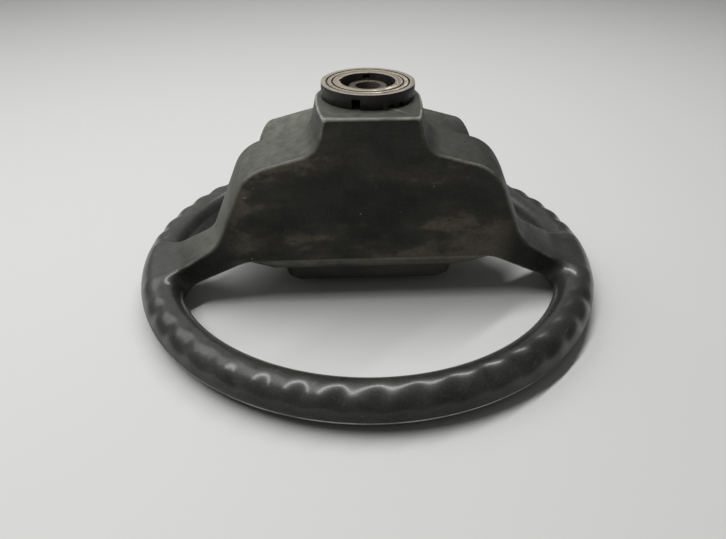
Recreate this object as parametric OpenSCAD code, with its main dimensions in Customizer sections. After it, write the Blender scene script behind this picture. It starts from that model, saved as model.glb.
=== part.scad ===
// Car steering wheel, lying face down with its hub upwards.
// Z is the wheel's axis, the driver's side is down, and -Y is the side of the two spokes.

/* [Rim] */
// Outer diameter of the rim
rim_od = 380; // [370:1:395]
// Diameter of the grip's round section
grip_d = 30; // [28:0.5:33]
// Number of finger bumps round the whole rim
bump_count = 47; // [40:1:54]
// Depth of the hollows between the finger bumps
bump_depth = 2.2; // [0.5:0.1:3]
// Width of the smooth stretch at each spoke, in degrees
smooth_angle = 22; // [16:1:30]
// Diameter of the steel ring inside the grip
core_d = 10; // [8:0.5:11]

/* [Housing] */
// Distance between the flat front and rear faces
body_depth = 100; // [96:1:106]
// How far the sides swell outwards halfway between those faces
body_bulge = 7; // [4:0.5:9]
// Height of the neck's flat end
neck_top = 154.7; // [150:0.5:160]
// Width of the neck at its end
neck_w = 66.8; // [64:0.5:72]
// Lean of the neck's sides in degrees
neck_lean = 12; // [6:1:16]
// Width between the corners of the shoulders
shoulder_w = 183; // [176:1:188]
// Height of the corners of the shoulders
shoulder_z = 115.4; // [112:0.5:119]
// Fall of the shoulders in degrees
shoulder_fall = 15.6; // [12:0.5:19]
// Lean of the housing's sides in degrees
side_lean = 23.7; // [20:0.5:26]
// Radius where the neck runs into the shoulders
neck_fillet = 16; // [10:1:20]
// Radius of the neck's round rear side
neck_rear_r = 39.3; // [38:0.1:41]
// Radius of the shoulders' corners
shoulder_r = 35; // [26:1:38]
// How far the rear edge is set in from the front one, on each side
rear_inset = 9; // [5:0.5:11]
// How far the shoulders stand up along their rear edge
rear_rise = 5; // [2:0.5:6]
// Depth of the saddle across the shoulders, in front of that rear edge
saddle_depth = 7; // [3:0.5:8]
// Height of the housing's underside
floor_z = 41; // [40:0.5:43]
// Wall thickness of the housing
wall = 4.5; // [3.5:0.25:5]
// Radius of the edges round the front and rear faces
edge_r = 2.4; // [1.5:0.1:3]
// Width of the lip where it leaves the underside
lip_base_w = 189; // [180:1:195]
// Width of the lip at its lower edge
lip_w = 150; // [146:1:156]
// Front to rear size of the lip at its lower edge
lip_depth = 85; // [82:1:90]
// How far the lip stands down from the underside
lip_drop = 11.5; // [9:0.5:14]
// Thickness of the lip round the housing's mouth
lip_rim = 2.8; // [2.2:0.1:3.4]

/* [Spokes] */
// Width of a spoke, back from the front face
spoke_w = 37; // [34:1:41]
// Height where a spoke's upper face meets the housing's side
spoke_root_z = 55.6; // [53:0.5:58]
// Fall of a spoke's upper face in degrees
spoke_fall = 32.2; // [31:0.2:33]
// Fall of a spoke's lower face in degrees
spoke_under_fall = 24.7; // [23.5:0.2:26]
// Radius along a spoke's edges
spoke_r = 4; // [2:0.5:6]
// Radius where a spoke's upper face meets the housing's side
root_r = 24; // [12:1:30]
// How far a spoke's front face flares out where it meets the rim
front_flare = 7; // [3:0.5:9]
// How far a spoke's rear face flares out where it meets the rim
rear_flare = 8; // [3:0.5:10]

/* [Frame] */
// Thickness of the pressed spoke plate
plate_t = 3.5; // [2.5:0.25:4]
// Height of the spoke plate's underside
plate_z = 54.5; // [54:0.25:56]
// Length of the spoke plate between its bends
plate_w = 196; // [186:1:198]
// Space between the spoke plate and the housing's front and rear walls
plate_gap = 2.5; // [1:0.25:4]
// Radius of the spoke plate's corners
plate_r = 14; // [10:1:18]
// Width of the arms in the spokes
arm_w = 25; // [20:1:27]
// Opening in the spoke plate's middle
plate_hole_d = 60; // [56:1:64]
// Outer diameter of the crash can at the spoke plate
can_foot_d = 72; // [68:1:74]
// Outer diameter of the crash can at the hub
can_top_d = 54; // [50:1:56]
// Sheet thickness of the crash can
can_t = 1.5; // [1:0.25:2]
// Width of the crash can's foot flange
can_flange = 6; // [4:0.5:6]
// Number of slots in the crash can
can_slots = 6; // [4:1:8]
// Width of the slots in the crash can
can_slot_w = 12; // [8:0.5:16]

/* [Hub] */
// Outer diameter of the hub boss
boss_d = 29.4; // [27:0.2:32]
// How far the boss stays below the top of the contact carrier
boss_sink = 3.4; // [2:0.2:5]
// Length of the hub boss
boss_l = 42; // [36:1:48]
// Diameter of the hub's flange
hub_flange_d = 44; // [40:1:46]
// Thickness of the hub's flange
hub_flange_t = 4; // [3:0.25:5]
// Diameter of the plain bore at the hub's outer end
bore_d = 18.6; // [17:0.1:20]
// Depth of that plain bore
bore_depth = 8; // [6:0.5:12]
// Number of splines
spline_count = 36; // [24:1:40]
// Depth of the splines
spline_h = 0.6; // [0.4:0.05:0.8]
// Diameter of the recess for the hub's nut
nut_d = 23; // [22:0.5:25]
// Depth of the recess for the hub's nut
nut_depth = 9; // [6:0.5:12]

/* [Contact rings] */
// Outer diameter of the contact carrier
carrier_d = 69.6; // [68:0.2:72]
// Height of the contact carrier
carrier_h = 10.8; // [9:0.2:12]
// Diameter of the opening round the hub boss
well_d = 41; // [40:0.5:42]
// Thickness of the carrier's face
carrier_face = 3.2; // [2.8:0.2:4]
// Thickness of the carrier's skirt and inner wall
carrier_wall = 1.8; // [1.4:0.1:2.2]
// Inner diameter of the outer slip ring
outer_ring_d = 54; // [53:0.5:55]
// Inner diameter of the inner slip ring
inner_ring_d = 42.4; // [42.2:0.1:43]
// Width of the slip rings
ring_w = 3; // [2.4:0.2:3.4]
// Thickness of the slip rings
ring_t = 1.2; // [0.8:0.1:1.5]
// Width of the grooves beside the outer slip ring
groove_w = 1.3; // [0.8:0.1:1.5]
// Width of the window at the front of the skirt
window_w = 6.2; // [4:0.2:8]
// Height of that window from the skirt's lower edge
window_h = 7.2; // [5:0.2:7.4]
// Diameter of the screws that hold the carrier
carrier_screw_d = 2.9; // [2.5:0.1:3.2]

/* [Horn] */
// Travel of the horn pad
travel = 3; // [2:0.25:3.5]
// Height of the horn pad's face above the bench
pad_z = 10; // [8:0.5:12]
// Wall thickness of the horn pad
pad_wall = 3.2; // [2.5:0.1:4]
// Draft of the horn pad on each side, from its back to its face
pad_draft = 5; // [2:0.5:7]
// Height of the horn pad's back plate
back_z = 36; // [35:0.25:36.5]
// Thickness of the horn pad's back plate
back_t = 1.5; // [1:0.1:1.75]
// Thickness of the horn base plate
base_t = 2; // [1.5:0.1:2.5]
// Gap between the horn base and the housing's front and rear walls
base_gap = 3.3; // [2:0.1:5]
// How far the horn base reaches past the mouth at each end
base_lap = 6; // [4:0.5:8]
// Distance of the guide pins from the middle, along X
pin_x = 52; // [48:1:54]
// Distance of the guide pins from the middle, along Y
pin_y = 25; // [22:1:27]
// Diameter of the guide pins
pin_d = 6; // [5:0.2:6.4]
// Diameter of the guide pins' heads
pin_head_d = 10; // [9:0.2:11]
// Thickness of the guide pins' heads
pin_head_t = 1.8; // [1.4:0.1:2]
// Outer diameter of the horn springs
spring_d = 9.6; // [9.2:0.1:10.4]
// Wire diameter of the horn springs
spring_wire = 1; // [0.8:0.05:1.1]
// Number of turns of the horn springs
spring_turns = 4; // [3:0.5:4]
// Distance of the contacts from the middle
contact_x = 36; // [34:1:38]
// Width of the contacts
contact_w = 9; // [7:0.5:11]
// Diameter of the screws that hold the horn base
screw_d = 5; // [4:0.5:5.5]
// Diameter of the screws that hold the horn pad's back plate
pad_screw_d = 3; // [2.5:0.1:3.5]
// Width of the horn wire's blade terminal
tab_w = 6.3; // [4.8:0.1:6.3]

/* [Clearances] */
// Space round the horn pad in the housing's mouth
pad_gap = 1; // [0.6:0.1:1.4]
// Running clearance of the guide pins, on the radius
pin_gap = 0.08; // [0.05:0.01:0.1]
// Clearance round a piece that is pushed or screwed in place
fit_gap = 0.05; // [0.03:0.01:0.08]
// Clearance of the frame in the moulding
mould_gap = 0.3; // [0.2:0.05:0.4]
// Gap that the horn contacts keep at full travel
contact_gap = 0.3; // [0.2:0.05:0.5]

/* [Hidden] */
$fn = 64;

// A little more than a wall, for cuts that pass right through
over = 1;
// Thickness of the slices that a spoke is hulled from
slice = 0.02;

// Rim
grip_r = grip_d / 2;
rim_r = rim_od / 2 - grip_r;
bump_pitch = 360 / bump_count;
ring_steps = bump_count * 4;
ring_sides = 16;
// The bumps stand on the upper outer side of the section, about this angle from level
bump_middle = 80;
bump_spread = 62;
// Above 1, the hollows between the bumps are narrower than the bumps
bump_power = 1.5;

// Housing outline: corners of the right-hand half, as [x, z]
body_half = body_depth / 2;
lean_t = tan(neck_lean);
fall_t = tan(shoulder_fall);

// Where the mouth and the pad lie
lip_z = floor_z - lip_drop;
lip_base_r = 3;
mouth_w = lip_w - 2 * lip_rim;
mouth_depth = lip_depth - 2 * lip_rim;
mouth_r = 9;
pad_w = mouth_w - 2 * pad_gap;
pad_depth = mouth_depth - 2 * pad_gap;
pad_r = mouth_r - pad_gap;
// Steps of the pad's rounded face: its height, and its share of the draft
pad_shoulder_h = 5;
pad_shoulder_draft = 0.8 * pad_draft;
pad_face_inset = 3;
// Ribs and posts inside the pad
pad_rib_t = 2;
pad_rib_drop = 8;
pin_post_d = 10;
screw_post_d = 8;
pad_screw_x = pin_x + 6;
pad_screw_l = 10;

// Spokes and the frame's arms
spoke_back = -body_half + spoke_w;
spoke_sink = 9;
spoke_end = rim_r - spoke_sink;
spoke_root_x = side_x(spoke_root_z);
arm_y = -body_half + spoke_w / 2;
bend_x = plate_w / 2;
arm_knee = spoke_root_x + 10;
core_r = core_d / 2;
// The channel is six-sided, so its corners reach further out than the round ring
hex_reach = 1.18;
core_channel_r = (core_r + mould_gap) * hex_reach;
plate_depth = body_depth - 2 * wall - 2 * plate_gap;
plate_window_d = 14;
plate_window_inset = 18;
plate_window_edge = 23;
plate_window_y = plate_depth / 2 - plate_window_edge;
plate_top = plate_z + plate_t;

// Hub and crash can
neck_inside = neck_top - wall;
flange_z = neck_inside - hub_flange_t;
carrier_top = neck_top + carrier_h;
boss_top = carrier_top - boss_sink;
boss_bottom = boss_top - boss_l;
flange_seat = 1;
neck_hole_d = hub_flange_d - 2 * flange_seat;
boss_chamfer = 1;
// How much smaller the splines' outer circle is than the plain bore, on the radius
spline_step = 0.3;
// Shares of the can's height where its slots begin and end
can_slot_from = 0.35;
can_slot_to = 0.65;
// How much deeper than the slip rings the open grooves are
groove_extra = 0.4;
carrier_post_d = carrier_screw_d + 3.7;
carrier_screw_head_d = carrier_screw_d + 2.1;
carrier_screw_head_t = carrier_screw_d / 2;
// Angles of the front window, and of the two notches and the foot beside them
window_angle = -107;
notch_angles = [-64, -50];
foot_angle = -72;
notch_w = 4;
notch_h = 3;
foot_w = 3;
foot_out = 1.6;
foot_h = 1.2;
// Angles and sizes of the notches in the edge of the well
well_notch_angles = [90, 172];
well_notch_w = 5;
well_notch_h = 4;

// Horn
base_z = floor_z + wall;
base_top = base_z + base_t;
base_w = mouth_w + 2 * base_lap;
base_depth = body_depth - 2 * wall - 2 * base_gap;
base_hole_d = plate_hole_d - 6;
back_top = back_z + back_t;
bush_flange_t = 1;
bush_wall = 1.5;
bush_d = pin_d + 2 * bush_wall;
pin_top = base_top + bush_flange_t;
pin_screw_d = 4;
pin_screw_l = 12;
insulator_t = 1;
contact_t = 1;
fixed_face = base_z - insulator_t - contact_t;
moving_face = fixed_face - travel - contact_gap;
sleeve_inset = 7;
sleeve_x = mouth_w / 2 - sleeve_inset;
sleeve_y = 12;
sleeve_d = screw_d + 3;
screw_head_d = screw_d + 3.4;
screw_head_t = 1.6;
plunger_d = 5;
tab_l = 10;
tab_t = 0.8;

function unit(v) = v / norm(v);
function clamp(v) = min(1, max(0, v));
function ease(t) = let (c = clamp(t)) c * c * (3 - 2 * c);

// Half width of the housing's side at a height, on the front and rear faces
function side_x(z) = shoulder_w / 2 + (shoulder_z - z) * tan(side_lean);

// How far the sides stand out at y: swollen in the middle, and set in towards the rear edge
function bulge(y) = body_bulge * (1 - pow(y / body_half, 2))
    - rear_inset * ease(y / body_half / 0.64 - 0.31);

// How far the shoulders stand up at y: sunk in a saddle, then raised along the rear edge
function rise(y) = -saddle_depth * ease(y / body_half / 0.36 - 0.11)
    + (saddle_depth + rear_rise) * ease(y / body_half / 0.24 - 2.5);

// Half width of the neck's end at y: bowed sides in front of the axis, round behind it
function neck_half(y) = y < 0 ? neck_w / 2 + (neck_rear_r - neck_w / 2) * (1 - pow(y / body_half, 2))
    : sqrt(max(0, neck_rear_r * neck_rear_r - y * y));

// Upper and lower face of a spoke at x
function spoke_top(x) = spoke_root_z - (x - spoke_root_x) * tan(spoke_fall);
function spoke_under(x) = floor_z - max(0, x - lip_base_w / 2) * tan(spoke_under_fall);
function spoke_middle(x) = (spoke_top(x) + spoke_under(x)) / 2;

// Points of an arc of radius r that rounds corner b between a and c
function round_corner(a, b, c, r, steps) =
    let (u = unit(a - b), v = unit(c - b), half = acos(u * v) / 2,
        centre = b + unit(u + v) * r / sin(half),
        from = b + u * r / tan(half) - centre, to = b + v * r / tan(half) - centre,
        turn = atan2(from.x * to.y - from.y * to.x, from * to))
    [for (i = [0:steps]) let (q = turn * i / steps)
        centre + [from.x * cos(q) - from.y * sin(q), from.x * sin(q) + from.y * cos(q)]];

// A closed ring of points moved inwards by d, for a ring that runs clockwise
function inset(ring, d) = let (n = len(ring))
    [for (i = [0:n - 1]) let (a = unit(ring[i] - ring[(i + n - 1) % n]),
        b = unit(ring[(i + 1) % n] - ring[i]))
        ring[i] + d * [a.y + b.y, -a.x - b.x] / (1 + a * b)];

// The right half of the housing's outline, clockwise from the top. The neck is n wide there on each side,
// and the sides stand out by b and the shoulders stand up by up. Behind the neck, n is 0.
function half_outline(n, b, up) =
    let (shoulder = [side_x(shoulder_z + up) + b, shoulder_z + up], foot = [side_x(floor_z) + b, floor_z],
        z = n > 0
            ? (shoulder[1] + (shoulder.x - n) * fall_t - neck_top * lean_t * fall_t) / (1 - lean_t * fall_t)
            : shoulder[1] + (shoulder.x - neck_fillet) * fall_t,
        neck = n > 0 ? [n, neck_top] : [over, shoulder[1] + (shoulder.x - over) * fall_t],
        root = n > 0 ? [n + (neck_top - z) * lean_t, z] : [neck_fillet, z])
    concat([neck], n > 0 ? round_corner(neck, root, shoulder, neck_fillet, 5)
            : [for (i = [0:5]) neck + (root - neck) * (i + 1) / 6],
        round_corner(root, shoulder, foot, shoulder_r, 6), [foot]);

// The outline at y, moved inwards by d. A shell's inside takes the least of what lies within d of y.
function body_ring(y, d) =
    let (near = d < wall ? [y] : [y - d, y, y + d], behind = d < wall ? y : y + min(max(y, 0), d),
        half = half_outline(neck_half(behind), min([for (v = near) bulge(v)]),
            min([for (v = near) rise(v)])),
        n = len(half), ring = concat(half, [for (i = [n - 1:-1:0]) [-half[i].x, half[i].y]]))
    [for (p = inset(ring, d)) [p.x, y, p.y]];

// Where the finger bumps are at full depth round the section, and round the rim
function bump_section(q) = let (off = abs(((q - bump_middle + 540) % 360) - 180))
    off < bump_spread ? pow(cos(off * 90 / bump_spread), 2) : 0;
function spoke_angle() = atan2(arm_y, sqrt(rim_r * rim_r - arm_y * arm_y));
function bump_stretch(phi) = let (off = min(abs(phi - spoke_angle() - 360), abs(phi - 180 + spoke_angle())))
    ease((off - smooth_angle / 2) / bump_pitch);
function grip_radius(phi, q) = grip_r - bump_depth * bump_section(q) * bump_stretch(phi)
    * pow((1 + cos((phi - 270) * bump_count)) / 2, bump_power);

// One ring of points round the grip at angle phi
function grip_ring(phi) = [for (i = [0:ring_sides - 1])
    let (q = 360 * i / ring_sides, r = grip_radius(phi, q), out = rim_r + r * cos(q))
    [out * cos(phi), out * sin(phi), grip_r + r * sin(q)]];

// A closed skin through rings of points: its ends are capped, or joined into a loop
module skin(rings, looped = false) {
    n = len(rings[0]);
    m = len(rings);
    sides = [for (i = [0:m - (looped ? 1 : 2)], j = [0:n - 1])
        let (a = i * n + j, b = i * n + (j + 1) % n, next = ((i + 1) % m) * n)
        each [[a, next + (j + 1) % n, next + j], [a, b, next + (j + 1) % n]]];
    caps = looped ? [] : [[for (j = [n - 1:-1:0]) j], [for (j = [0:n - 1]) (m - 1) * n + j]];
    polyhedron([for (ring = rings) each ring], concat(sides, caps));
}

// A block with rounded upright corners, centred on the axis
module rounded_block(w, d, h, r) {
    linear_extrude(h) offset(r) square([w - 2 * r, d - 2 * r], center = true);
}

module four_corners(x, y) {
    for (sx = [-1, 1], sy = [-1, 1]) translate([sx * x, sy * y, 0]) children();
}

module ring(outer_d, inner_d, h) {
    difference() {
        cylinder(d = outer_d, h = h);
        translate([0, 0, -over]) cylinder(d = inner_d, h = h + 2 * over);
    }
}

// A screw with its head's seat at z = 0 and its shank upwards
module screw(d, l, head_d, head_t) {
    difference() {
        union() {
            cylinder(d = d, h = l);
            translate([0, 0, -head_t]) cylinder(d = head_d, h = head_t);
        }
        translate([-head_d * 0.35, -0.5, -head_t - over]) cube([head_d * 0.7, 1, over + head_t / 2]);
    }
}

// Where the bell's skin has its rings near an end, as [distance from the middle, inset]
function end_rings(near, d, r) = r > 0
    ? [for (s = [0, 45, 90]) [near - r * (1 - cos(s)), d + r * (1 - sin(s))]] : [[near, d]];

// The swollen bell of the housing, smaller by d all round, with edges of radius r.
// Its rings run from the rear face to the front, and lie close together where the neck ends.
module bell(d, r) {
    near = body_half - d;
    neck_end = neck_rear_r - d;
    ends = end_rings(near, d, r);
    places = [neck_end + slice, neck_end - slice, neck_end - 2, neck_end * 0.85, neck_end * 0.7,
        neck_end * 0.5, neck_end * 0.25, 0, -near * 0.3, -near * 0.6];
    skin(concat([for (e = ends) body_ring(e[0], e[1])], [for (y = places) body_ring(y, d)],
        [for (i = [len(ends) - 1:-1:0]) body_ring(-ends[i][0], ends[i][1])]));
}

// How much higher than its straight upper face a spoke is in the round of its root
function root_lift(x) = let (half_turn = (90 - side_lean - spoke_fall) / 2, reach = root_r * tan(half_turn),
        off = clamp((spoke_root_x + reach - x) / (2 * reach)))
    reach * sin(half_turn) * off * off * 2;

module spoke_slice(x) {
    y0 = -body_half - front_flare * pow(clamp((x - spoke_end) / spoke_w * 1.6 + 1), 2);
    y1 = spoke_back + rear_flare * ease((x - arm_knee) / (spoke_end - arm_knee));
    lift = tan(spoke_fall);
    top = min(spoke_top(x), spoke_under(x) + 6 * spoke_r) + root_lift(x);
    translate([x, 0, 0]) rotate([90, 0, 90]) linear_extrude(slice, center = true)
        offset(spoke_r, $fn = 20) offset(delta = -spoke_r)
        polygon([[y0, spoke_under(x)], [y1, spoke_under(x)], [y1, top + bulge(y1) * lift],
            [arm_y, top + bulge(arm_y) * lift], [y0, top]]);
}

module spoke() {
    stations = [lip_base_w / 2, spoke_root_x - 8, spoke_root_x - 2, spoke_root_x + 3, arm_knee,
        (arm_knee + spoke_end) / 2, spoke_end - spoke_w / 4, spoke_end - spoke_w / 8, spoke_end];
    for (i = [0:len(stations) - 2]) hull() {
        spoke_slice(stations[i]);
        spoke_slice(stations[i + 1]);
    }
}

// The plate's bent middle line on the right-hand side, from the axis to the rim
function arm_line() = [[0, plate_z + plate_t / 2], [bend_x, plate_z + plate_t / 2],
    [arm_knee, spoke_middle(arm_knee)], [rim_r, spoke_middle(rim_r)]];

// A strip of thickness t along a line of points
module strip(line, t) {
    n = len(line);
    side = [for (i = [0:n - 1]) let (a = i > 0 ? unit(line[i] - line[i - 1]) : unit(line[1] - line[0]),
        b = i < n - 1 ? unit(line[i + 1] - line[i]) : a)
        [-a.y - b.y, a.x + b.x] / (1 + a * b) * t / 2];
    polygon(concat([for (i = [0:n - 1]) line[i] + side[i]],
        [for (i = [n - 1:-1:0]) line[i] - side[i]]));
}

// Both arms, larger by gap all round
module arms(gap) {
    translate([0, arm_y, 0]) rotate([90, 0, 0]) linear_extrude(arm_w + 2 * gap, center = true)
        for (s = [0, 1]) mirror([s, 0]) strip(arm_line(), plate_t + 2 * gap);
}

module core_channel() {
    step = 6;
    skin([for (i = [0:360 / step - 1]) [for (j = [0:5])
        let (q = 60 * j, out = rim_r + core_channel_r * cos(q), phi = i * step)
        [out * cos(phi), out * sin(phi), grip_r + core_channel_r * sin(q)]]], true);
}

module lip() {
    $fn = 36;
    hull() {
        translate([0, 0, floor_z]) rounded_block(lip_base_w, body_depth, over, lip_base_r);
        translate([0, 0, lip_z]) rounded_block(lip_w, lip_depth, over, mouth_r + lip_rim);
    }
}

module grip_cover() color("#37372f") difference() {
    union() {
        skin([for (i = [0:ring_steps - 1]) grip_ring(360 * i / ring_steps)], true);
        bell(0, edge_r);
        for (s = [0, 1]) mirror([s, 0, 0]) spoke();
        lip();
    }
    bell(wall, 0);
    core_channel();
    arms(mould_gap);
    translate([0, 0, lip_z - over])
        rounded_block(mouth_w, mouth_depth, lip_drop + wall + 2 * over, mouth_r);
    translate([0, 0, neck_inside - over]) cylinder(d = neck_hole_d, h = wall + 2 * over);
    translate([0, 0, neck_inside - over]) carrier_screw_places()
        cylinder(d = carrier_screw_d + 4 * fit_gap, h = wall + 2 * over, $fn = 24);
}

module rim_ring() color("#8b8d8e") translate([0, 0, grip_r]) rotate_extrude()
    translate([rim_r, 0]) circle(d = core_d, $fn = 32);

module spoke_plate() color("#7d8082") difference() {
    union() {
        intersection() {
            arms(0);
            cylinder(r = rim_r - core_r - mould_gap, h = plate_top + over);
        }
        translate([0, 0, plate_z]) rounded_block(plate_w, plate_depth, plate_t, plate_r);
    }
    translate([0, 0, plate_z - over]) {
        cylinder(d = plate_hole_d, h = plate_t + 2 * over);
        four_corners(sleeve_x, sleeve_y) cylinder(d = screw_d + 2 * fit_gap, h = plate_t + 2 * over);
        for (s = [-1, 1]) translate([s * (bend_x - plate_window_inset), plate_window_y, 0])
            cylinder(d = plate_window_d, h = plate_t + 2 * over);
    }
}

module crash_can() color("#85888a") difference() {
    rotate_extrude() polygon([[can_foot_d / 2 + can_flange, plate_top],
        [can_foot_d / 2 + can_flange, plate_top + can_t], [can_foot_d / 2, plate_top + can_t],
        [can_top_d / 2, flange_z], [boss_d / 2 + fit_gap, flange_z],
        [boss_d / 2 + fit_gap, flange_z - can_t], [can_top_d / 2 - can_t, flange_z - can_t],
        [can_foot_d / 2 - can_t, plate_top + can_t], [can_foot_d / 2 - can_t, plate_top]]);
    can_h = flange_z - plate_top;
    for (i = [0:can_slots - 1]) rotate([0, 0, 360 * i / can_slots]) translate([0, 0, plate_top]) {
        for (z = [can_slot_from, can_slot_to]) translate([0, 0, can_h * z])
            rotate([0, 90, 0]) cylinder(d = can_slot_w, h = can_foot_d);
        translate([0, -can_slot_w / 2, can_h * can_slot_from])
            cube([can_foot_d, can_slot_w, can_h * (can_slot_to - can_slot_from)]);
    }
}

// Section of the splines, cut into the hub's bore
module spline_section() {
    tooth = 360 / spline_count;
    root = bore_d / 2 - spline_step;
    tip = root - spline_h;
    polygon([for (i = [0:spline_count - 1]) let (q = i * tooth) each [
        tip * [cos(q), sin(q)], tip * [cos(q + tooth * 0.35), sin(q + tooth * 0.35)],
        root * [cos(q + tooth * 0.5), sin(q + tooth * 0.5)],
        root * [cos(q + tooth * 0.85), sin(q + tooth * 0.85)]]]);
}

module hub_boss() color("#a5a097") difference() {
    union() {
        translate([0, 0, boss_bottom]) cylinder(d = boss_d, h = boss_l - boss_chamfer);
        translate([0, 0, boss_top - boss_chamfer])
            cylinder(d1 = boss_d, d2 = boss_d - 2 * boss_chamfer, h = boss_chamfer);
        translate([0, 0, flange_z]) cylinder(d = hub_flange_d, h = hub_flange_t);
    }
    translate([0, 0, boss_top - bore_depth]) cylinder(d = bore_d, h = bore_depth + over);
    translate([0, 0, boss_bottom + nut_depth - over])
        linear_extrude(boss_l - nut_depth - bore_depth + 2 * over) spline_section();
    translate([0, 0, boss_bottom - over]) cylinder(d = nut_d, h = nut_depth + over);
}

// The three places of the carrier's screws, between the inner wall and the skirt
module carrier_screw_places() {
    for (q = [30, 150, 270]) rotate([0, 0, q]) translate([(well_d + carrier_d) / 4, 0, 0]) children();
}

module contact_carrier() color("#4a463c") translate([0, 0, neck_top]) difference() {
    union() {
        difference() {
            cylinder(d = carrier_d, h = carrier_h);
            translate([0, 0, -over])
                cylinder(d = carrier_d - 2 * carrier_wall, h = carrier_h - carrier_face + over);
        }
        cylinder(d = well_d + 2 * carrier_wall, h = carrier_h);
        translate([0, 0, -wall / 2]) cylinder(d = neck_hole_d - 2 * fit_gap, h = wall);
        carrier_screw_places() cylinder(d = carrier_post_d, h = carrier_h - carrier_face + over / 2);
        rotate([0, 0, foot_angle]) translate([(carrier_d - carrier_wall) / 2, -foot_w / 2, 0])
            cube([carrier_wall / 2 + foot_out, foot_w, foot_h]);
    }
    translate([0, 0, -wall]) cylinder(d = well_d - 2 * carrier_wall, h = wall + over);
    cylinder(d = well_d, h = carrier_h + over);
    carrier_screw_places() translate([0, 0, -over])
        cylinder(d = carrier_screw_d + 2 * fit_gap, h = carrier_h - carrier_face + over);
    // seats of the slip rings, and the grooves beside the outer one
    for (d = [outer_ring_d, inner_ring_d]) translate([0, 0, carrier_h - ring_t])
        ring(d + 2 * ring_w, d, ring_t + over);
    for (d = [outer_ring_d - 2 * groove_w, outer_ring_d + 2 * ring_w])
        translate([0, 0, carrier_h - ring_t - groove_extra])
            ring(d + 2 * groove_w, d, ring_t + groove_extra + over);
    // the window and the notches in the skirt
    skirt_cut(window_angle, window_w, window_h);
    for (q = notch_angles) skirt_cut(q, notch_w, notch_h);
    // notches in the well's edge
    for (q = well_notch_angles) rotate([0, 0, q])
        translate([well_d / 2 - over, -well_notch_w / 2, carrier_h - well_notch_h])
            cube([carrier_wall + 2 * over, well_notch_w, well_notch_h + over]);
}

// A cut through the carrier's skirt, open at its lower edge
module skirt_cut(q, w, h) {
    rotate([0, 0, q]) translate([carrier_d / 2 - carrier_wall - over, -w / 2, -over])
        cube([carrier_wall + 2 * over, w, h + over]);
}

module slip_ring(d) color("#b09a74") translate([0, 0, carrier_top - ring_t])
    ring(d + 2 * ring_w - 2 * fit_gap, d + 2 * fit_gap, ring_t);

module carrier_screws() color("#9a9a96") translate([0, 0, neck_inside]) carrier_screw_places()
    screw(carrier_screw_d, wall + 2 * carrier_screw_d, carrier_screw_head_d, carrier_screw_head_t);

module horn_base() color("#8a8c80") difference() {
    translate([0, 0, base_z]) rounded_block(base_w, base_depth, base_t, mouth_r);
    translate([0, 0, base_z - over]) {
        cylinder(d = base_hole_d, h = base_t + 2 * over);
        four_corners(pin_x, pin_y) cylinder(d = bush_d + 2 * fit_gap, h = base_t + 2 * over);
        four_corners(sleeve_x, sleeve_y) cylinder(d = screw_d + 2 * fit_gap, h = base_t + 2 * over);
    }
}

module base_sleeves() color("#9a9c98") translate([0, 0, base_top]) four_corners(sleeve_x, sleeve_y)
    ring(sleeve_d, screw_d + 2 * fit_gap, plate_z - base_top);

module base_screws() color("#9a9a96") translate([0, 0, base_z]) four_corners(sleeve_x, sleeve_y)
    screw(screw_d, plate_top - base_z, screw_head_d, screw_head_t);

// The place of guide pin, bush and spring i, from 0 to 3
module at_pin(i) {
    translate([pin_x * (i % 2 == 0 ? -1 : 1), pin_y * (i < 2 ? -1 : 1), 0]) children();
}

module guide_bush(i) color("#d9d5c4") at_pin(i) difference() {
    union() {
        translate([0, 0, base_z]) cylinder(d = bush_d, h = base_t + bush_flange_t);
        translate([0, 0, base_top]) cylinder(d = bush_d + 2 * bush_wall, h = bush_flange_t);
    }
    translate([0, 0, base_z - over])
        cylinder(d = pin_d + 2 * pin_gap, h = base_t + bush_flange_t + 2 * over);
}

module guide_pin(i) color("#a8aaab") at_pin(i) {
    translate([0, 0, back_z - pin_screw_l]) cylinder(d = pin_screw_d, h = pin_screw_l + back_t + over / 2);
    translate([0, 0, back_top]) cylinder(d = pin_d, h = pin_top - back_top + over / 2);
    translate([0, 0, pin_top]) cylinder(d = pin_head_d, h = pin_head_t);
}

// A coil spring between the back plate and the horn base
module horn_spring(i) color("#b4b6b6") at_pin(i) {
    turn_steps = 9;
    wire_sides = 4;
    coil_r = (spring_d - spring_wire) / 2;
    bottom = back_top + spring_wire / 2 + fit_gap;
    rise = base_z - back_top - spring_wire - 2 * fit_gap;
    skin([for (t = [0:1 / turn_steps:spring_turns]) let (q = 360 * t) [for (j = [0:wire_sides - 1])
        let (w = 360 / wire_sides * j, out = coil_r + cos(w) * spring_wire / 2)
        [out * cos(q), out * sin(q), bottom + rise * t / spring_turns + sin(w) * spring_wire / 2]]]);
}

module contact_plate(side, z, h) {
    translate([side * contact_x - contact_w / 2, -contact_w, z]) cube([contact_w, 2 * contact_w, h]);
}

module insulator(side) color("#6b4a33") contact_plate(side, base_z - insulator_t, insulator_t);

module fixed_contact(side) color("#b8975a") contact_plate(side, fixed_face, contact_t);

module moving_contact(side) color("#b8975a") {
    contact_plate(side, back_top, contact_t / 2);
    translate([side * contact_x, 0, back_top]) cylinder(d = plunger_d, h = moving_face - back_top);
}

module terminal_tab() color("#b8975a")
    translate([base_w / 2 - tab_l * 1.7, base_depth / 2 - tab_w * 1.45, base_top]) {
        cube([tab_l, tab_w, tab_t]);
        cube([tab_t, tab_w, plate_z - base_top - over]);
    }

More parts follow.
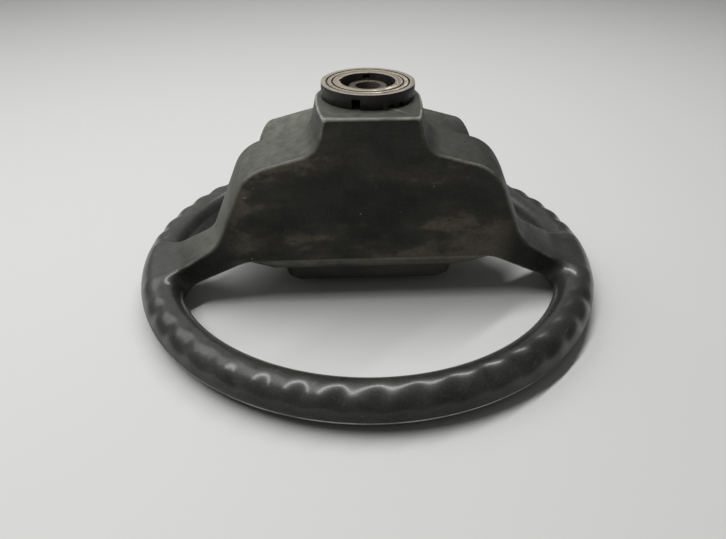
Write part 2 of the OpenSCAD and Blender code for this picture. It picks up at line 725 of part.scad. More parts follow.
// Outside of the horn pad, smaller by d
module pad_form(d) {
    $fn = 36;
    hull() {
        for (step = [[back_z - d / 4, 0], [pad_z + pad_shoulder_h, pad_shoulder_draft],
            [pad_z + d, pad_draft + pad_face_inset]])
            translate([0, 0, step[0]]) rounded_block(pad_w - 2 * d - 2 * step[1],
                pad_depth - 2 * d - 2 * step[1], over, pad_r - d / 2);
    }
}

module horn_pad() color("#33332e") difference() {
    union() {
        difference() {
            pad_form(0);
            pad_form(pad_wall);
            translate([0, 0, back_z]) rounded_block(pad_w - 2 * pad_wall, pad_depth - 2 * pad_wall,
                back_t + over, pad_r - pad_wall / 2);
        }
        translate([0, 0, pad_z + pad_wall]) {
            inside_h = back_z - pad_z - pad_wall;
            four_corners(pin_x, pin_y) cylinder(d = pin_post_d, h = inside_h);
            for (s = [-1, 1]) translate([s * pad_screw_x, 0, 0]) cylinder(d = screw_post_d, h = inside_h);
            for (s = [-1, 1]) translate([-pin_x, s * pin_y - pad_rib_t / 2, 0])
                cube([2 * pin_x, pad_rib_t, inside_h - pad_rib_drop]);
        }
    }
    four_corners(pin_x, pin_y) translate([0, 0, back_z - pin_screw_l - over])
        cylinder(d = pin_screw_d + 2 * fit_gap, h = pin_screw_l + 2 * over);
    for (s = [-1, 1]) translate([s * pad_screw_x, 0, back_z - pad_screw_l])
        cylinder(d = pad_screw_d + 2 * fit_gap, h = pad_screw_l + over);
}

module pad_plate() color("#8a8c80") difference() {
    translate([0, 0, back_z]) rounded_block(pad_w - 2 * pad_wall - pad_gap,
        pad_depth - 2 * pad_wall - pad_gap, back_t, pad_r - pad_wall / 2);
    translate([0, 0, back_z - over]) {
        four_corners(pin_x, pin_y) cylinder(d = pin_screw_d + 2 * fit_gap, h = back_t + 2 * over);
        for (s = [-1, 1]) translate([s * pad_screw_x, 0, 0])
            cylinder(d = pad_screw_d + 2 * fit_gap, h = back_t + 2 * over);
    }
}

module pad_screws() color("#9a9a96") for (s = [-1, 1]) translate([s * pad_screw_x, 0, back_top])
    mirror([0, 0, 1]) screw(pad_screw_d, back_t + pad_screw_l - 2, 2 * pad_screw_d, pad_screw_d / 2);

grip_cover();
rim_ring();
spoke_plate();
crash_can();
hub_boss();
contact_carrier();
slip_ring(outer_ring_d);  // outer_slip_ring
slip_ring(inner_ring_d);  // inner_slip_ring
carrier_screws();
horn_base();
base_sleeves();
base_screws();
terminal_tab();
guide_bush(0);  // guide_bush_1
guide_bush(1);  // guide_bush_2
guide_bush(2);  // guide_bush_3
guide_bush(3);  // guide_bush_4
insulator(-1);  // insulator_left
insulator(1);  // insulator_right
fixed_contact(-1);  // fixed_contact_left
fixed_contact(1);  // fixed_contact_right
horn_spring(0);  // horn_spring_1
horn_spring(1);  // horn_spring_2
horn_spring(2);  // horn_spring_3
horn_spring(3);  // horn_spring_4
horn_pad();
pad_plate();
pad_screws();
guide_pin(0);  // guide_pin_1
guide_pin(1);  // guide_pin_2
guide_pin(2);  // guide_pin_3
guide_pin(3);  // guide_pin_4
moving_contact(-1);  // moving_contact_left
moving_contact(1);  // moving_contact_right
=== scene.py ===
import bmesh
import bpy
import math
import numpy as np
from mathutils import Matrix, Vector


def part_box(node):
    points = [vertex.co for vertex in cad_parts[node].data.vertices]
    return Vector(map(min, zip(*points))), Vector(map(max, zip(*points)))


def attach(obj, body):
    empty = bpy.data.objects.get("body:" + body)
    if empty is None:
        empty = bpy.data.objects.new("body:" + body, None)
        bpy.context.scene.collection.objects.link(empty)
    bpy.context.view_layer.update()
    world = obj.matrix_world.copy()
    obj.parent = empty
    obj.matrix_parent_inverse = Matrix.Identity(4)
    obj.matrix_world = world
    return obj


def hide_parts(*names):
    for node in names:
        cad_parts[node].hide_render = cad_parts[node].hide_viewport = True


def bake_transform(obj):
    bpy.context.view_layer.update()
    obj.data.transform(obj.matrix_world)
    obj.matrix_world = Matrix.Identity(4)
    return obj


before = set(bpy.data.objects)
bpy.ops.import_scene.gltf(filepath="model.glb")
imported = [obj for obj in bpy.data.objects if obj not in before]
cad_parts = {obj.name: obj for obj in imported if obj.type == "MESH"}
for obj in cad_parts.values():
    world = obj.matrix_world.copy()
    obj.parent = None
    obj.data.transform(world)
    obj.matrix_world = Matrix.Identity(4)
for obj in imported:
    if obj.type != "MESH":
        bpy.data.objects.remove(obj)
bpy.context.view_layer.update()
mm = 0.001


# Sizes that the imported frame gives, in millimetres
def nodeBox(name):
    low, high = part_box(name)
    return np.array(low) / mm, np.array(high) / mm


coverLow, coverHigh = nodeBox("grip_cover")
coreLow, coreHigh = nodeBox("rim_ring")
carrierTop = nodeBox("contact_carrier")[1][2]

grip = {
    "radius": (coreLow[2] + coreHigh[2]) / 2,   # the rim rests on the floor, so its middle is one radius up
    "bumps": 47,
    "bumpDepth": 1.5,
    "bumpMiddle": 54.0,     # degrees round the section, from level
    "bumpSpread": 64.0,
    "bumpCusp": 0.8,        # how soft the narrow valleys between the bumps are
    "smoothAngle": 22.0,    # degrees of rim without bumps at each spoke
    "reflectionLineAngle": -20.0,     # where the painted reflection line runs round the section
}
grip["ringRadius"] = coverHigh[0] - grip["radius"]

housing = {
    "halfDepth": 50.0,
    "swell": 7.0,           # how far the sides stand out halfway back
    "rearInset": 12.0,
    "insetRun": (0.36, 0.45),   # each run: how long the change is, in half depths, and where it starts, in runs
    "rearRise": 5.0,
    "riseRun": (0.52, 0.75),
    "saddle": 7.0,          # depth of the dip across the shoulders, in front of the rear edge
    "saddleRun": (0.34, 0.11),
    "liftFoot": 70.0,       # the shoulders' dip and rise fade in above this height
    "liftOver": 35.0,
    "neckTop": coverHigh[2],
    "neckHalf": 33.4,
    "neckRear": 39.3,       # radius of the neck's round rear side
    "neckLean": 12.0,
    "neckEdge": 1.3,
    "neckBlend": 10.0,
    "neckFoot": 90.0,
    "shoulderHalf": 91.5,
    "shoulderHeight": 115.4,
    "shoulderFall": 15.6,
    "sideLean": 23.7,
    "shoulderRadius": 35.0,
    "rearRadius": 6.0,      # the shoulders' corner at the rear edge
    "rearCorner": (4.6, 13.0, 1.5),  # how much further out it lies, how far it drops, and how far it leans out
    "rearFrom": 12.0,       # the profile turns into the rear one from here on
    "rearOver": 30.0,
    "floor": 41.0,
    "wall": 4.5,
    "cavityCorner": 3.0,
    "cavityDip": 10.0,      # the cavity's top sinks to the saddle's depth over this length
    "crown": 14.0,          # how round the shoulders' ridge is on the middle plane
    "edge": 2.4,
    "neckHole": 21.0,
}

lip = {"baseHalf": (94.5, 50.0), "tipHalf": (75.0, 42.5), "drop": 11.5, "edge": 1.2, "rim": 2.8, "corner": 9.0}

spoke = {
    "width": 37.0,
    "rootHeight": 55.6,
    "fall": 32.2,
    "underFall": 24.7,
    "inside": 45.0,         # how far its profile reaches into the housing
    "tipShort": 8.0,        # how far it ends short of the ring's middle line
    "edge": 2.2,
    "rearFlare": 8.0,       # how much wider it is where it meets the rim
    "frontFlare": 5.0,
    "flareFrom": 6.0,       # the rear flare's start, out from the root
    "flareOver": 40.0,
    "tipOver": 35.0,        # length of the front flare
    "rimBlend": 17.0,       # size of the soft joint with the rim
    "blendHeight": 0.8,     # it is full from this height up, in grip radii
    "rootBlend": 4.5,       # and with the housing
}


def tangent(degrees):
    return math.tan(math.radians(degrees))


def ease(t):
    t = np.clip(t, 0, 1)
    return t * t * (3 - 2 * t)


def easeRun(t, run):
    return ease(t / run[0] - run[1])


# Half width of the housing's side at a height, on its front face
def sideAt(z):
    return housing["shoulderHalf"] + (housing["shoulderHeight"] - z) * tangent(housing["sideLean"])


spokeBack = -housing["halfDepth"] + spoke["width"]
spokeRootX = sideAt(spoke["rootHeight"])


# An arc that rounds corner b of the bend a-b-c: its points lie at one radius from the bisector's centre
def arcPoints(a, b, c, radius, steps):
    a, b, c = (np.array(p, float) for p in (a, b, c))
    u, v = (a - b) / np.linalg.norm(a - b), (c - b) / np.linalg.norm(c - b)
    half = math.acos(float(u @ v)) / 2
    centre = b + (u + v) / np.linalg.norm(u + v) * radius / math.sin(half)
    start, end = b + u * radius / math.tan(half) - centre, b + v * radius / math.tan(half) - centre
    turn = math.atan2(start[0] * end[1] - start[1] * end[0], float(start @ end))
    q = turn * np.arange(steps + 1) / steps
    return centre + np.stack([start[0] * np.cos(q) - start[1] * np.sin(q),
                              start[0] * np.sin(q) + start[1] * np.cos(q)], 1)


# Profile of the shoulders and sides, right-hand half, and of a spoke with its under side.
# Both reach past the middle plane, so that it is no edge of them.
inner = -40.0


def shoulderLine():
    h = housing
    shoulder = np.array([h["shoulderHalf"], h["shoulderHeight"]])
    foot = np.array([sideAt(h["floor"]), h["floor"]])
    crown = np.array([inner, shoulder[1] + (shoulder[0] - inner) * tangent(h["shoulderFall"])])
    return np.array([crown, *arcPoints(crown, shoulder, foot, h["shoulderRadius"], 14), foot, [inner, h["floor"]]])


# At the rear edge the shoulders end in a tight corner over a short upright side
def rearShoulderLine():
    h = housing
    out, drop, lean = h["rearCorner"]
    corner = np.array([h["shoulderHalf"] + out, h["shoulderHeight"] - out * tangent(h["shoulderFall"])])
    under = corner + [lean, -drop]
    foot = np.array([sideAt(h["floor"]), h["floor"]])
    crown = np.array([inner, corner[1] + (corner[0] - inner) * tangent(h["shoulderFall"])])
    return np.array([crown, *arcPoints(crown, corner, under, h["rearRadius"], 6), under, foot, [inner, h["floor"]]])


def spokeLine():
    tip, bend, base = grip["ringRadius"] - spoke["tipShort"], lip["baseHalf"][0], housing["floor"]
    drop, under = tangent(spoke["fall"]), tangent(spoke["underFall"])
    start = spokeRootX - spoke["inside"]
    return np.array([[start, spoke["rootHeight"] + spoke["inside"] * drop],
                     [tip, spoke["rootHeight"] - (tip - spokeRootX) * drop],
                     [tip, base - (tip - bend) * under], [bend, base], [start, base + 20]])


bellLine, rearLine, armLine = shoulderLine(), rearShoulderLine(), spokeLine()


# Distance to a closed polygon, negative inside it: the nearest of its sides, signed by how often a ray crosses it
def polygonField(x, z, line):
    best = np.full(x.shape, 1e9)
    within = np.zeros(x.shape, bool)
    for (ax, az), (bx, bz) in zip(line, np.roll(line, -1, 0)):
        dx, dz = bx - ax, bz - az
        t = np.clip(((x - ax) * dx + (z - az) * dz) / (dx * dx + dz * dz), 0, 1)
        best = np.minimum(best, (x - ax - t * dx) ** 2 + (z - az - t * dz) ** 2)
        if dz:
            within ^= ((az > z) != (bz > z)) & (x < ax + (z - az) * dx / dz)
    return np.where(within, -1, 1) * np.sqrt(best)


# Two fields meet with a rounded edge of the given radius, kept where both are inside
def roundedBoth(a, b, radius):
    return (np.hypot(np.maximum(a + radius, 0), np.maximum(b + radius, 0)) - radius
            + np.minimum(np.maximum(a + radius, b + radius), 0))


# Two fields join with a soft fillet of size k
def softUnion(a, b, k):
    overlap = np.maximum(k - np.abs(a - b), 0) / np.maximum(k, 1e-6)
    return np.minimum(a, b) - overlap * overlap * k / 4


# The grip's radius dips between finger bumps, on the section's upper outer side, away from the spokes
def gripField(x, y, z):
    g = grip
    out, up = np.hypot(x, y) - g["ringRadius"], z - g["radius"]
    phi, q = np.degrees(np.arctan2(y, x)), np.degrees(np.arctan2(up, out))
    off = np.abs((q - g["bumpMiddle"] + 180) % 360 - 180)
    section = np.where(off < g["bumpSpread"], np.cos(np.radians(off * 90 / g["bumpSpread"])) ** 2, 0)
    middle = -math.degrees(math.atan2(housing["halfDepth"] - spoke["width"] / 2, g["ringRadius"]))
    away = np.minimum(np.abs(phi - middle), np.abs((phi + 180 + middle + 180) % 360 - 180))
    stretch = ease((away - g["smoothAngle"] / 2) / (360 / g["bumps"]))
    # each bump is a cosine's arch, and the arches meet in narrow valleys
    arch = np.hypot(np.sin(np.radians((phi + 90) * g["bumps"] / 2)), g["bumpCusp"])
    hollow = (math.hypot(1, g["bumpCusp"]) - arch) / (math.hypot(1, g["bumpCusp"]) - g["bumpCusp"])
    return np.hypot(out, up) - g["radius"] + g["bumpDepth"] * section * stretch * hollow


# The sides swell in the middle and draw in towards the rear; the shoulders dip, then rise to the rear edge
def swellAt(y):
    t = y / housing["halfDepth"]
    return housing["swell"] * (1 - t ** 2) - housing["rearInset"] * easeRun(t, housing["insetRun"])


def riseAt(y):
    t = y / housing["halfDepth"]
    return (-housing["saddle"] * easeRun(t, housing["saddleRun"])
            + (housing["saddle"] + housing["rearRise"]) * easeRun(t, housing["riseRun"]))


# The neck: bowed sides in front of the axis, a round rear, and both lean outwards as they go down
def neckField(x, y, z):
    h = housing
    down = (h["neckTop"] - z) * tangent(h["neckLean"])
    bow = (h["neckRear"] - h["neckHalf"]) * (1 - (np.clip(y, -60, 0) / h["halfDepth"]) ** 2)
    front = np.abs(x) - h["neckHalf"] - bow - down
    out = np.maximum(np.hypot(x, y), 1e-6)
    rear = out - h["neckRear"] - down * (x / out) ** 2
    side = np.where(y < 0, front, rear) * math.cos(math.radians(h["neckLean"]))
    return np.maximum(roundedBoth(side, z - h["neckTop"], h["neckEdge"]), h["neckFoot"] - z)


# The bell without its front and rear faces, for sides that stand out by swell and shoulders raised by lift
def bellField(x, y, z, swell, lift):
    h = housing
    raised = lift * ease((z - h["liftFoot"]) / h["liftOver"])
    # the ridge on the middle plane is rounded, which takes nothing off at the shoulders' width
    out = np.hypot(x, h["crown"]) - h["crown"] ** 2 / (2 * h["shoulderHalf"]) - swell
    out, up = out + raised * tangent(h["sideLean"]), z - raised
    back = ease((y - h["rearFrom"]) / h["rearOver"])
    bell = polygonField(out, up, bellLine) * (1 - back) + polygonField(out, up, rearLine) * back
    return softUnion(bell, neckField(x, y, z), h["neckBlend"])


# The housing with its spokes, and the cavity in it, which the wall keeps inside every dip of the outside
def housingField(x, y, z):
    h = housing
    inY = np.clip(y, -h["halfDepth"], h["halfDepth"])
    bell = bellField(x, y, z, swellAt(inY), riseAt(y))
    solid = roundedBoth(bell, y - h["halfDepth"], h["edge"])
    along = ease((np.abs(x) - spokeRootX - spoke["flareFrom"]) / spoke["flareOver"])
    arm = roundedBoth(polygonField(np.abs(x) - swellAt(inY), z, armLine),
                      y - spokeBack - spoke["rearFlare"] * along, spoke["edge"])
    atTip = ease((np.abs(x) - grip["ringRadius"] + spoke["tipOver"]) / spoke["tipOver"])
    front = -(y + h["halfDepth"] + spoke["frontFlare"] * atTip ** 2)
    edge = h["edge"] + (spoke["edge"] - h["edge"]) * along
    outside = roundedBoth(softUnion(solid, arm, spoke["rootBlend"]), front, edge)
    inside = bellField(x, y, z, swellAt(inY + h["wall"]), -h["saddle"] * ease((y + h["wall"]) / h["cavityDip"]))
    cavity = roundedBoth(inside + h["wall"], np.abs(y) - h["halfDepth"] + h["wall"], h["cavityCorner"])
    return outside, cavity


# The lip under the housing tapers from its base to its tip, with mitred ends
def lipField(x, y, z):
    t = (z - (housing["floor"] - lip["drop"])) / lip["drop"]
    sides = []
    for value, base, tip in zip((x, y), lip["baseHalf"], lip["tipHalf"]):
        slope = math.hypot(1, (base - tip) / lip["drop"])
        sides.append((np.abs(value) - tip - (base - tip) * t) / slope)
    body = roundedBoth(np.maximum(sides[0], sides[1]), housing["floor"] - lip["drop"] - z, lip["edge"])
    return np.maximum(body, z - housing["floor"] - 1)


# The mouth is a rounded rectangle through the underside
def mouthField(x, y, z):
    r = lip["corner"]
    dx = np.abs(x) - lip["tipHalf"][0] + lip["rim"] + r
    dy = np.abs(y) - lip["tipHalf"][1] + lip["rim"] + r
    plan = np.hypot(np.maximum(dx, 0), np.maximum(dy, 0)) + np.minimum(np.maximum(dx, dy), 0) - r
    return np.maximum(plan, z - housing["floor"] - housing["wall"] - 4)


# The whole moulding: rim, spokes, housing and lip, less the cavity, the mouth and the neck's hole
def mouldingField(x, y, z):
    h = housing
    body, cavity = housingField(x, y, z)
    body = np.minimum(body, lipField(x, y, z))
    # the soft joint fades out downwards, so that nothing bulges below the rim
    blend = spoke["rimBlend"] * ease(z / (spoke["blendHeight"] * grip["radius"]))
    whole = softUnion(body, gripField(x, y, z), blend)
    hole = np.maximum(np.hypot(x, y) - h["neckHole"], h["neckTop"] - h["wall"] - 4 - z)
    return np.maximum(whole, -np.minimum(np.minimum(cavity, hole), mouthField(x, y, z)))


# Slope of a field by central differences
def slopeOf(field, p, step=0.05):
    g = np.empty_like(p)
    for axis in range(3):
        d = np.zeros(3)
        d[axis] = step
        g[:, axis] = (field(*(p + d).T) - field(*(p - d).T)) / (2 * step)
    return g


# A field's zero surface on a grid of cubes: one point in each cube that the surface crosses, at the mean of
# its crossings with the cube's edges, and a face round each grid edge that it crosses
def surfaceOf(values, low, step):
    inside = values < 0
    n = np.array(values.shape) - 1
    corners = [(a, b, c) for a in (0, 1) for b in (0, 1) for c in (0, 1)]
    count = np.zeros(n, np.int8)
    for a, b, c in corners:
        count += inside[a:n[0] + a, b:n[1] + b, c:n[2] + c]
    cells = np.argwhere((count > 0) & (count < 8))
    number = np.full(n, -1, np.int64)
    number[tuple(cells.T)] = np.arange(len(cells))
    at = {c: values[cells[:, 0] + c[0], cells[:, 1] + c[1], cells[:, 2] + c[2]] for c in corners}
    total, hits = np.zeros((len(cells), 3)), np.zeros(len(cells))
    for a in corners:
        for axis in range(3):
            if a[axis]:
                continue
            b = tuple(1 if i == axis else a[i] for i in range(3))
            cross = (at[a] < 0) != (at[b] < 0)
            t = np.where(cross, at[a] / np.where(cross, at[a] - at[b], 1), 0)
            point = np.array(a, float) + t[:, None] * (np.array(b) - np.array(a))
            total += point * cross[:, None]
            hits += cross
    points = low + (cells + total / hits[:, None]) * step
    faces = []
    for axis in range(3):
        one, two = [(1, 2), (2, 0), (0, 1)][axis]
        here = [slice(None)] * 3
        there = [slice(None)] * 3
        here[axis], there[axis] = slice(0, -1), slice(1, None)
        edges = np.argwhere(inside[tuple(here)] != inside[tuple(there)])
        edges = edges[(edges[:, one] > 0) & (edges[:, two] > 0)
                      & (edges[:, one] < n[one]) & (edges[:, two] < n[two])]
        outward = inside[tuple(edges.T)]
        around = []
        for da, db in ((-1, -1), (0, -1), (0, 0), (-1, 0)):
            cell = edges.copy()
            cell[:, one] += da
            cell[:, two] += db
            around.append(number[tuple(cell.T)])
        quad = np.stack(around, 1)
        faces.append(np.where(outward[:, None], quad, quad[:, ::-1]))
    return points, np.concatenate(faces)


# Each point slides along the field's slope until it lies on the surface
def settle(field, points, step, rounds=3):
    for _ in range(rounds):
        value = field(*points.T)
        g = slopeOf(field, points)
        size = np.maximum((g * g).sum(1), 0.05)
        move = -(value / size)[:, None] * g
        length = np.linalg.norm(move, axis=1, keepdims=True)
        points = points + move * np.minimum(1, step * 0.5 / np.maximum(length, 1e-9))
    return points


def makeMesh(name, points, faces):
    mesh = bpy.data.meshes.new(name)
    mesh.from_pydata(np.asarray(points) * mm, [], np.asarray(faces).tolist())
    mesh.update()
    piece = bpy.data.objects.new(name, mesh)
    bpy.context.scene.collection.objects.link(piece)
    return piece


def bakeModifiers(piece):
    bpy.context.view_layer.update()
    made = bpy.data.meshes.new_from_object(piece.evaluated_get(bpy.context.evaluated_depsgraph_get()))
    piece.modifiers.clear()
    piece.data = made


meshing = {
    "step": 1.45,           # the grid's cubes
    "quickStep": 2.6,
    "reach": (6.0, 12.0),   # room round the housing and its spokes, outwards and to the front and rear
    "triangles": 190000,
    "normalStep": 0.15,
    "edgeToneReach": 1.2,       # how far off the surface its turn is felt
}


def makeMoulding():
    step = meshing["step"]
    low, high = coverLow - 3 * step, coverHigh + 3 * step
    n = np.ceil((high - low) / step).astype(int)
    axes = [low[i] + step * np.arange(n[i]) for i in range(3)]
    x, y, z = np.meshgrid(*axes, indexing="ij", sparse=True)
    values = gripField(x, y, z)
    # the housing's field is worked out only round the housing, and is far from zero elsewhere
    room = meshing["reach"]
    pick = [np.abs(axes[0]) < grip["ringRadius"] + room[0], np.abs(axes[1]) < housing["halfDepth"] + room[1]]
    block = np.ix_(np.where(pick[0])[0], np.where(pick[1])[0], np.arange(n[2]))
    bx, by, bz = np.meshgrid(axes[0][pick[0]], axes[1][pick[1]], axes[2], indexing="ij")
    values[block] = mouldingField(bx, by, bz)
    points, faces = surfaceOf(values, low, step)
    points = settle(mouldingField, points, step)
    piece = makeMesh("grip_moulding", points, faces)
    thin = piece.modifiers.new("thin", "DECIMATE")
    thin.ratio = min(1.0, meshing["triangles"] / (2 * len(faces)))
    bakeModifiers(piece)
    mesh = piece.data
    flat = np.empty(len(mesh.vertices) * 3)
    mesh.vertices.foreach_get("co", flat)
    placed = settle(mouldingField, flat.reshape(-1, 3) / mm, 0.6, 2)
    mesh.vertices.foreach_set("co", (placed * mm).ravel())
    slope = slopeOf(mouldingField, placed, meshing["normalStep"])
    # how sharply the surface turns outwards, for the pale tone on its edges, which is wear and painted highlight
    spread = meshing["edgeToneReach"]
    turn = -6 * mouldingField(*placed.T)
    for axis in range(3):
        for sign in (-1, 1):
            d = np.zeros(3)
            d[axis] = sign * spread
            turn += mouldingField(*(placed + d).T)
    wear = mesh.attributes.new("edgeTurn", "FLOAT", "POINT")
    wear.data.foreach_set("value", (np.clip(turn / spread ** 2, -1, 1)).astype(np.float32))
    mesh.polygons.foreach_set("use_smooth", np.ones(len(mesh.polygons), bool))
    mesh.update()
    slope /= np.maximum(np.linalg.norm(slope, axis=1, keepdims=True), 1e-9)
    mesh.normals_split_custom_set_from_vertices(slope.tolist())
    print("moulding:", len(mesh.vertices), "points,", len(mesh.polygons), "faces")
    return piece


# A copy of a CAD node with its loose triangles merged and its edges eased, which stands for the node
def easedCopy(node, name, width, segments=2, angle=32):
    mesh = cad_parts[node].data.copy()
    mesh.materials.clear()
    build = bmesh.new()
    build.from_mesh(mesh)
    bmesh.ops.remove_doubles(build, verts=build.verts, dist=2e-6)
    bmesh.ops.dissolve_limit(build, angle_limit=math.radians(0.4), verts=build.verts, edges=build.edges)
    build.to_mesh(mesh)
    build.free()
    if mesh.has_custom_normals:
        mesh.normals_split_custom_set([(0, 0, 0)] * len(mesh.loops))
    piece = bpy.data.objects.new(name, mesh)
    bpy.context.scene.collection.objects.link(piece)
    bevel = piece.modifiers.new("eased", "BEVEL")
    bevel.width = width * mm
    bevel.segments = segments
    bevel.limit_method = "ANGLE"
    bevel.angle_limit = math.radians(angle)
    bevel.harden_normals = True
    bakeModifiers(piece)
    piece.data.polygons.foreach_set("use_smooth", np.ones(len(piece.data.polygons), bool))
    return piece


# Colours are written as they look on screen, 0 to 255
def tint(r, g, b):
    channel = [c / 255 for c in (r, g, b)]
    return tuple(((c + 0.055) / 1.055) ** 2.4 if c > 0.04045 else c / 12.92 for c in channel) + (1.0,)


def newGroup(name, inputs, outputs):
    group = bpy.data.node_groups.new(name, "ShaderNodeTree")
    kinds = {"color": "NodeSocketColor", "value": "NodeSocketFloat"}
    for label, kind in inputs:
        group.interface.new_socket(label, in_out="INPUT", socket_type=kinds[kind])
    for label, kind in outputs:
        group.interface.new_socket(label, in_out="OUTPUT", socket_type=kinds[kind])
    return group, group.nodes.new("NodeGroupInput"), group.nodes.new("NodeGroupOutput")


def addNode(tree, kind, settings=None, links=None):
    node = tree.nodes.new(kind)
    for key, value in (settings or {}).items():
        setattr(node, key, value)
    for key, value in (links or {}).items():
        if hasattr(value, "is_output"):
            tree.links.new(value, node.inputs[key])
        else:
            node.inputs[key].default_value = value
    return node


def addMath(tree, operation, a, b=None, clamp=False):
    links = {0: a} if b is None else {0: a, 1: b}
    return addNode(tree, "ShaderNodeMath", {"operation": operation, "use_clamp": clamp}, links).outputs[0]


def addRange(tree, value, low, high, toLow=0.0, toHigh=1.0):
    return addNode(tree, "ShaderNodeMapRange", {"interpolation_type": "SMOOTHSTEP"},
                   {"Value": value, "From Min": low, "From Max": high, "To Min": toLow, "To Max": toHigh}).outputs[0]


def addMix(tree, factor, a, b):
    node = addNode(tree, "ShaderNodeMix", {"data_type": "RGBA"}, {0: factor, 6: a, 7: b})
    return node.outputs[2]


def addNoise(tree, vector, scale, detail=5.0, roughness=0.55):
    return addNode(tree, "ShaderNodeTexNoise", None, {"Vector": vector, "Scale": scale, "Detail": detail,
                                                      "Roughness": roughness}).outputs["Fac"]


def objectPlace(tree):
    return addNode(tree, "ShaderNodeTexCoord").outputs["Object"]


dustAndLightUp = (-0.34, 0.0, 0.94)     # the up-facing pale tone leans to the left, a painted light from the upper left


# Settled dust, patchy, and a pale tone on faces that look up, which is partly dust and partly painted light from
# above
def makeDustAndTopLightGroup():
    group, into, out = newGroup("dust and painted top light", [("Color", "color"), ("Dust", "color"), ("Up", "value"),
                                                 ("Patches", "value"), ("Scale", "value")],
                                [("Color", "color"), ("Mask", "value")])
    place = objectPlace(group)
    fine = addNoise(group, place, into.outputs["Scale"], 8.0, 0.65)
    broad = addNoise(group, place, 14.0, 3.0, 0.5)
    facing = addNode(group, "ShaderNodeVectorMath", {"operation": "DOT_PRODUCT"},
                     {0: addNode(group, "ShaderNodeNewGeometry").outputs["Normal"], 1: dustAndLightUp})
    up = addMath(group, "MULTIPLY", addRange(group, facing.outputs["Value"], 0.25, 0.97), into.outputs["Up"])
    patch = addMath(group, "MULTIPLY", addRange(group, broad, 0.42, 0.72), into.outputs["Patches"])
    broken = addRange(group, fine, 0.2, 0.75, 0.35, 1.0)
    both = addMath(group, "MULTIPLY", addMath(group, "ADD", up, patch), broken, True)
    group.links.new(addMix(group, both, into.outputs["Color"], into.outputs["Dust"]), out.inputs["Color"])
    group.links.new(both, out.inputs["Mask"])
    return group


# Edge wear and painted edge highlight: a pale tone on the edges' own mask, broken up by noise
def makeWearAndHighlightGroup():
    group, into, out = newGroup("edge wear and painted highlight", [("Color", "color"), ("Worn", "color"), ("Edge", "value"),
                                              ("Amount", "value")], [("Color", "color"), ("Mask", "value")])
    broken = addRange(group, addNoise(group, objectPlace(group), 90.0, 6.0, 0.7), 0.3, 0.6, 0.3, 1.0)
    mask = addMath(group, "MULTIPLY", addMath(group, "MULTIPLY", into.outputs["Edge"], broken),
                   into.outputs["Amount"], True)
    group.links.new(addMix(group, mask, into.outputs["Color"], into.outputs["Worn"]), out.inputs["Color"])
    group.links.new(mask, out.inputs["Mask"])
    return group


# Fine scratches and scuffs: stretched noise cut to thin lines
def makeScratchGroup():
    group, into, out = newGroup("fine scratches", [("Scale", "value"), ("Amount", "value")], [("Mask", "value")])
    place = objectPlace(group)
    lines = []
    for turn, stretch in (((0.2, 0.5, 0.6), (1.0, 0.08, 1.0)), ((0.9, 0.1, 2.1), (0.08, 1.0, 1.0))):
        turned = addNode(group, "ShaderNodeMapping", None, {"Vector": place, "Rotation": turn})
        drawn = addNode(group, "ShaderNodeMapping", None, {"Vector": turned.outputs[0], "Scale": stretch})
        noise = addNoise(group, drawn.outputs[0], into.outputs["Scale"], 4.0, 0.6)
        lines.append(addRange(group, noise, 0.69, 0.74))
    both = addMath(group, "MULTIPLY", addMath(group, "MAXIMUM", *lines), into.outputs["Amount"], True)
    group.links.new(both, out.inputs["Mask"])
    return group


# Skin grain: small rounded cells over a soft orange-peel
def makeGrainGroup():
    group, into, out = newGroup("skin grain", [("Scale", "value")], [("Height", "value")])
    place = objectPlace(group)
    cells = addNode(group, "ShaderNodeTexVoronoi", {"feature": "SMOOTH_F1"},
                    {"Vector": place, "Scale": into.outputs["Scale"]}).outputs["Distance"]
    peel = addNoise(group, place, 260.0, 3.0, 0.5)
    group.links.new(addMath(group, "ADD", addMath(group, "MULTIPLY", cells, 0.5), peel), out.inputs["Height"])
    return group


dustAndTopLightGroup, wearAndHighlightGroup = makeDustAndTopLightGroup(), makeWearAndHighlightGroup()
scratchGroup, grainGroup = makeScratchGroup(), makeGrainGroup()


def newMaterial(name):
    material = bpy.data.materials.new(name)
    material.use_nodes = True
    tree = material.node_tree
    return material, tree, tree.nodes["Principled BSDF"]


def useGroup(tree, group, links):
    return addNode(tree, "ShaderNodeGroup", {"node_tree": group}, links)


def addBump(tree, shader, height, strength, distance):
    bump = addNode(tree, "ShaderNodeBump", None, {"Height": height, "Strength": strength, "Distance": distance})
    tree.links.new(bump.outputs[0], shader.inputs["Normal"])


cover = {
    "skin": tint(35, 36, 32),
    "rimSkin": tint(17, 17, 16),
    "film": tint(104, 98, 86),       # brown dirt that has dried on the front and rear faces
    "dust": tint(124, 126, 115),
    "speck": tint(168, 162, 146),
    # pale worn skin, also used for the painted highlight on the edges
    "worn": tint(162, 161, 150),
    # colour of the painted reflection line round the rim's underside
    "paintedReflectionLine": tint(196, 196, 188),
    "housingRough": 0.48,
    "rimRough": 0.44,
    "housingGloss": 0.22,
    "rimGloss": 0.30,
    "polish": 0.6,          # the rim's hand polish, a thin smooth coat
    "polishRough": 0.24,
    "settled": (0.36, 0.07),    # dust and painted top light on the housing and on the rim
    "sides": (1.45, 0.38),      # share of it on the left and on the right, a painted light from the left
    "sideReach": 0.12,
    "behind": 1.6,              # share of it on the rear half, a painted light from behind
    "onTop": 0.8,               # and on the neck's end
    "edgeToneTurn": (0.2, 0.6),     # the edges' turn where the pale edge tone starts and is full
    "wearAndHighlight": (0.35, 0.8),     # its amount low down and high up: the upper edges get more, as painted highlight
    "rimWear": 0.8,
    "mottle": 0.04,
    "flecks": 0.05,
    "scratches": 0.16,
    "grain": 0.3,
}


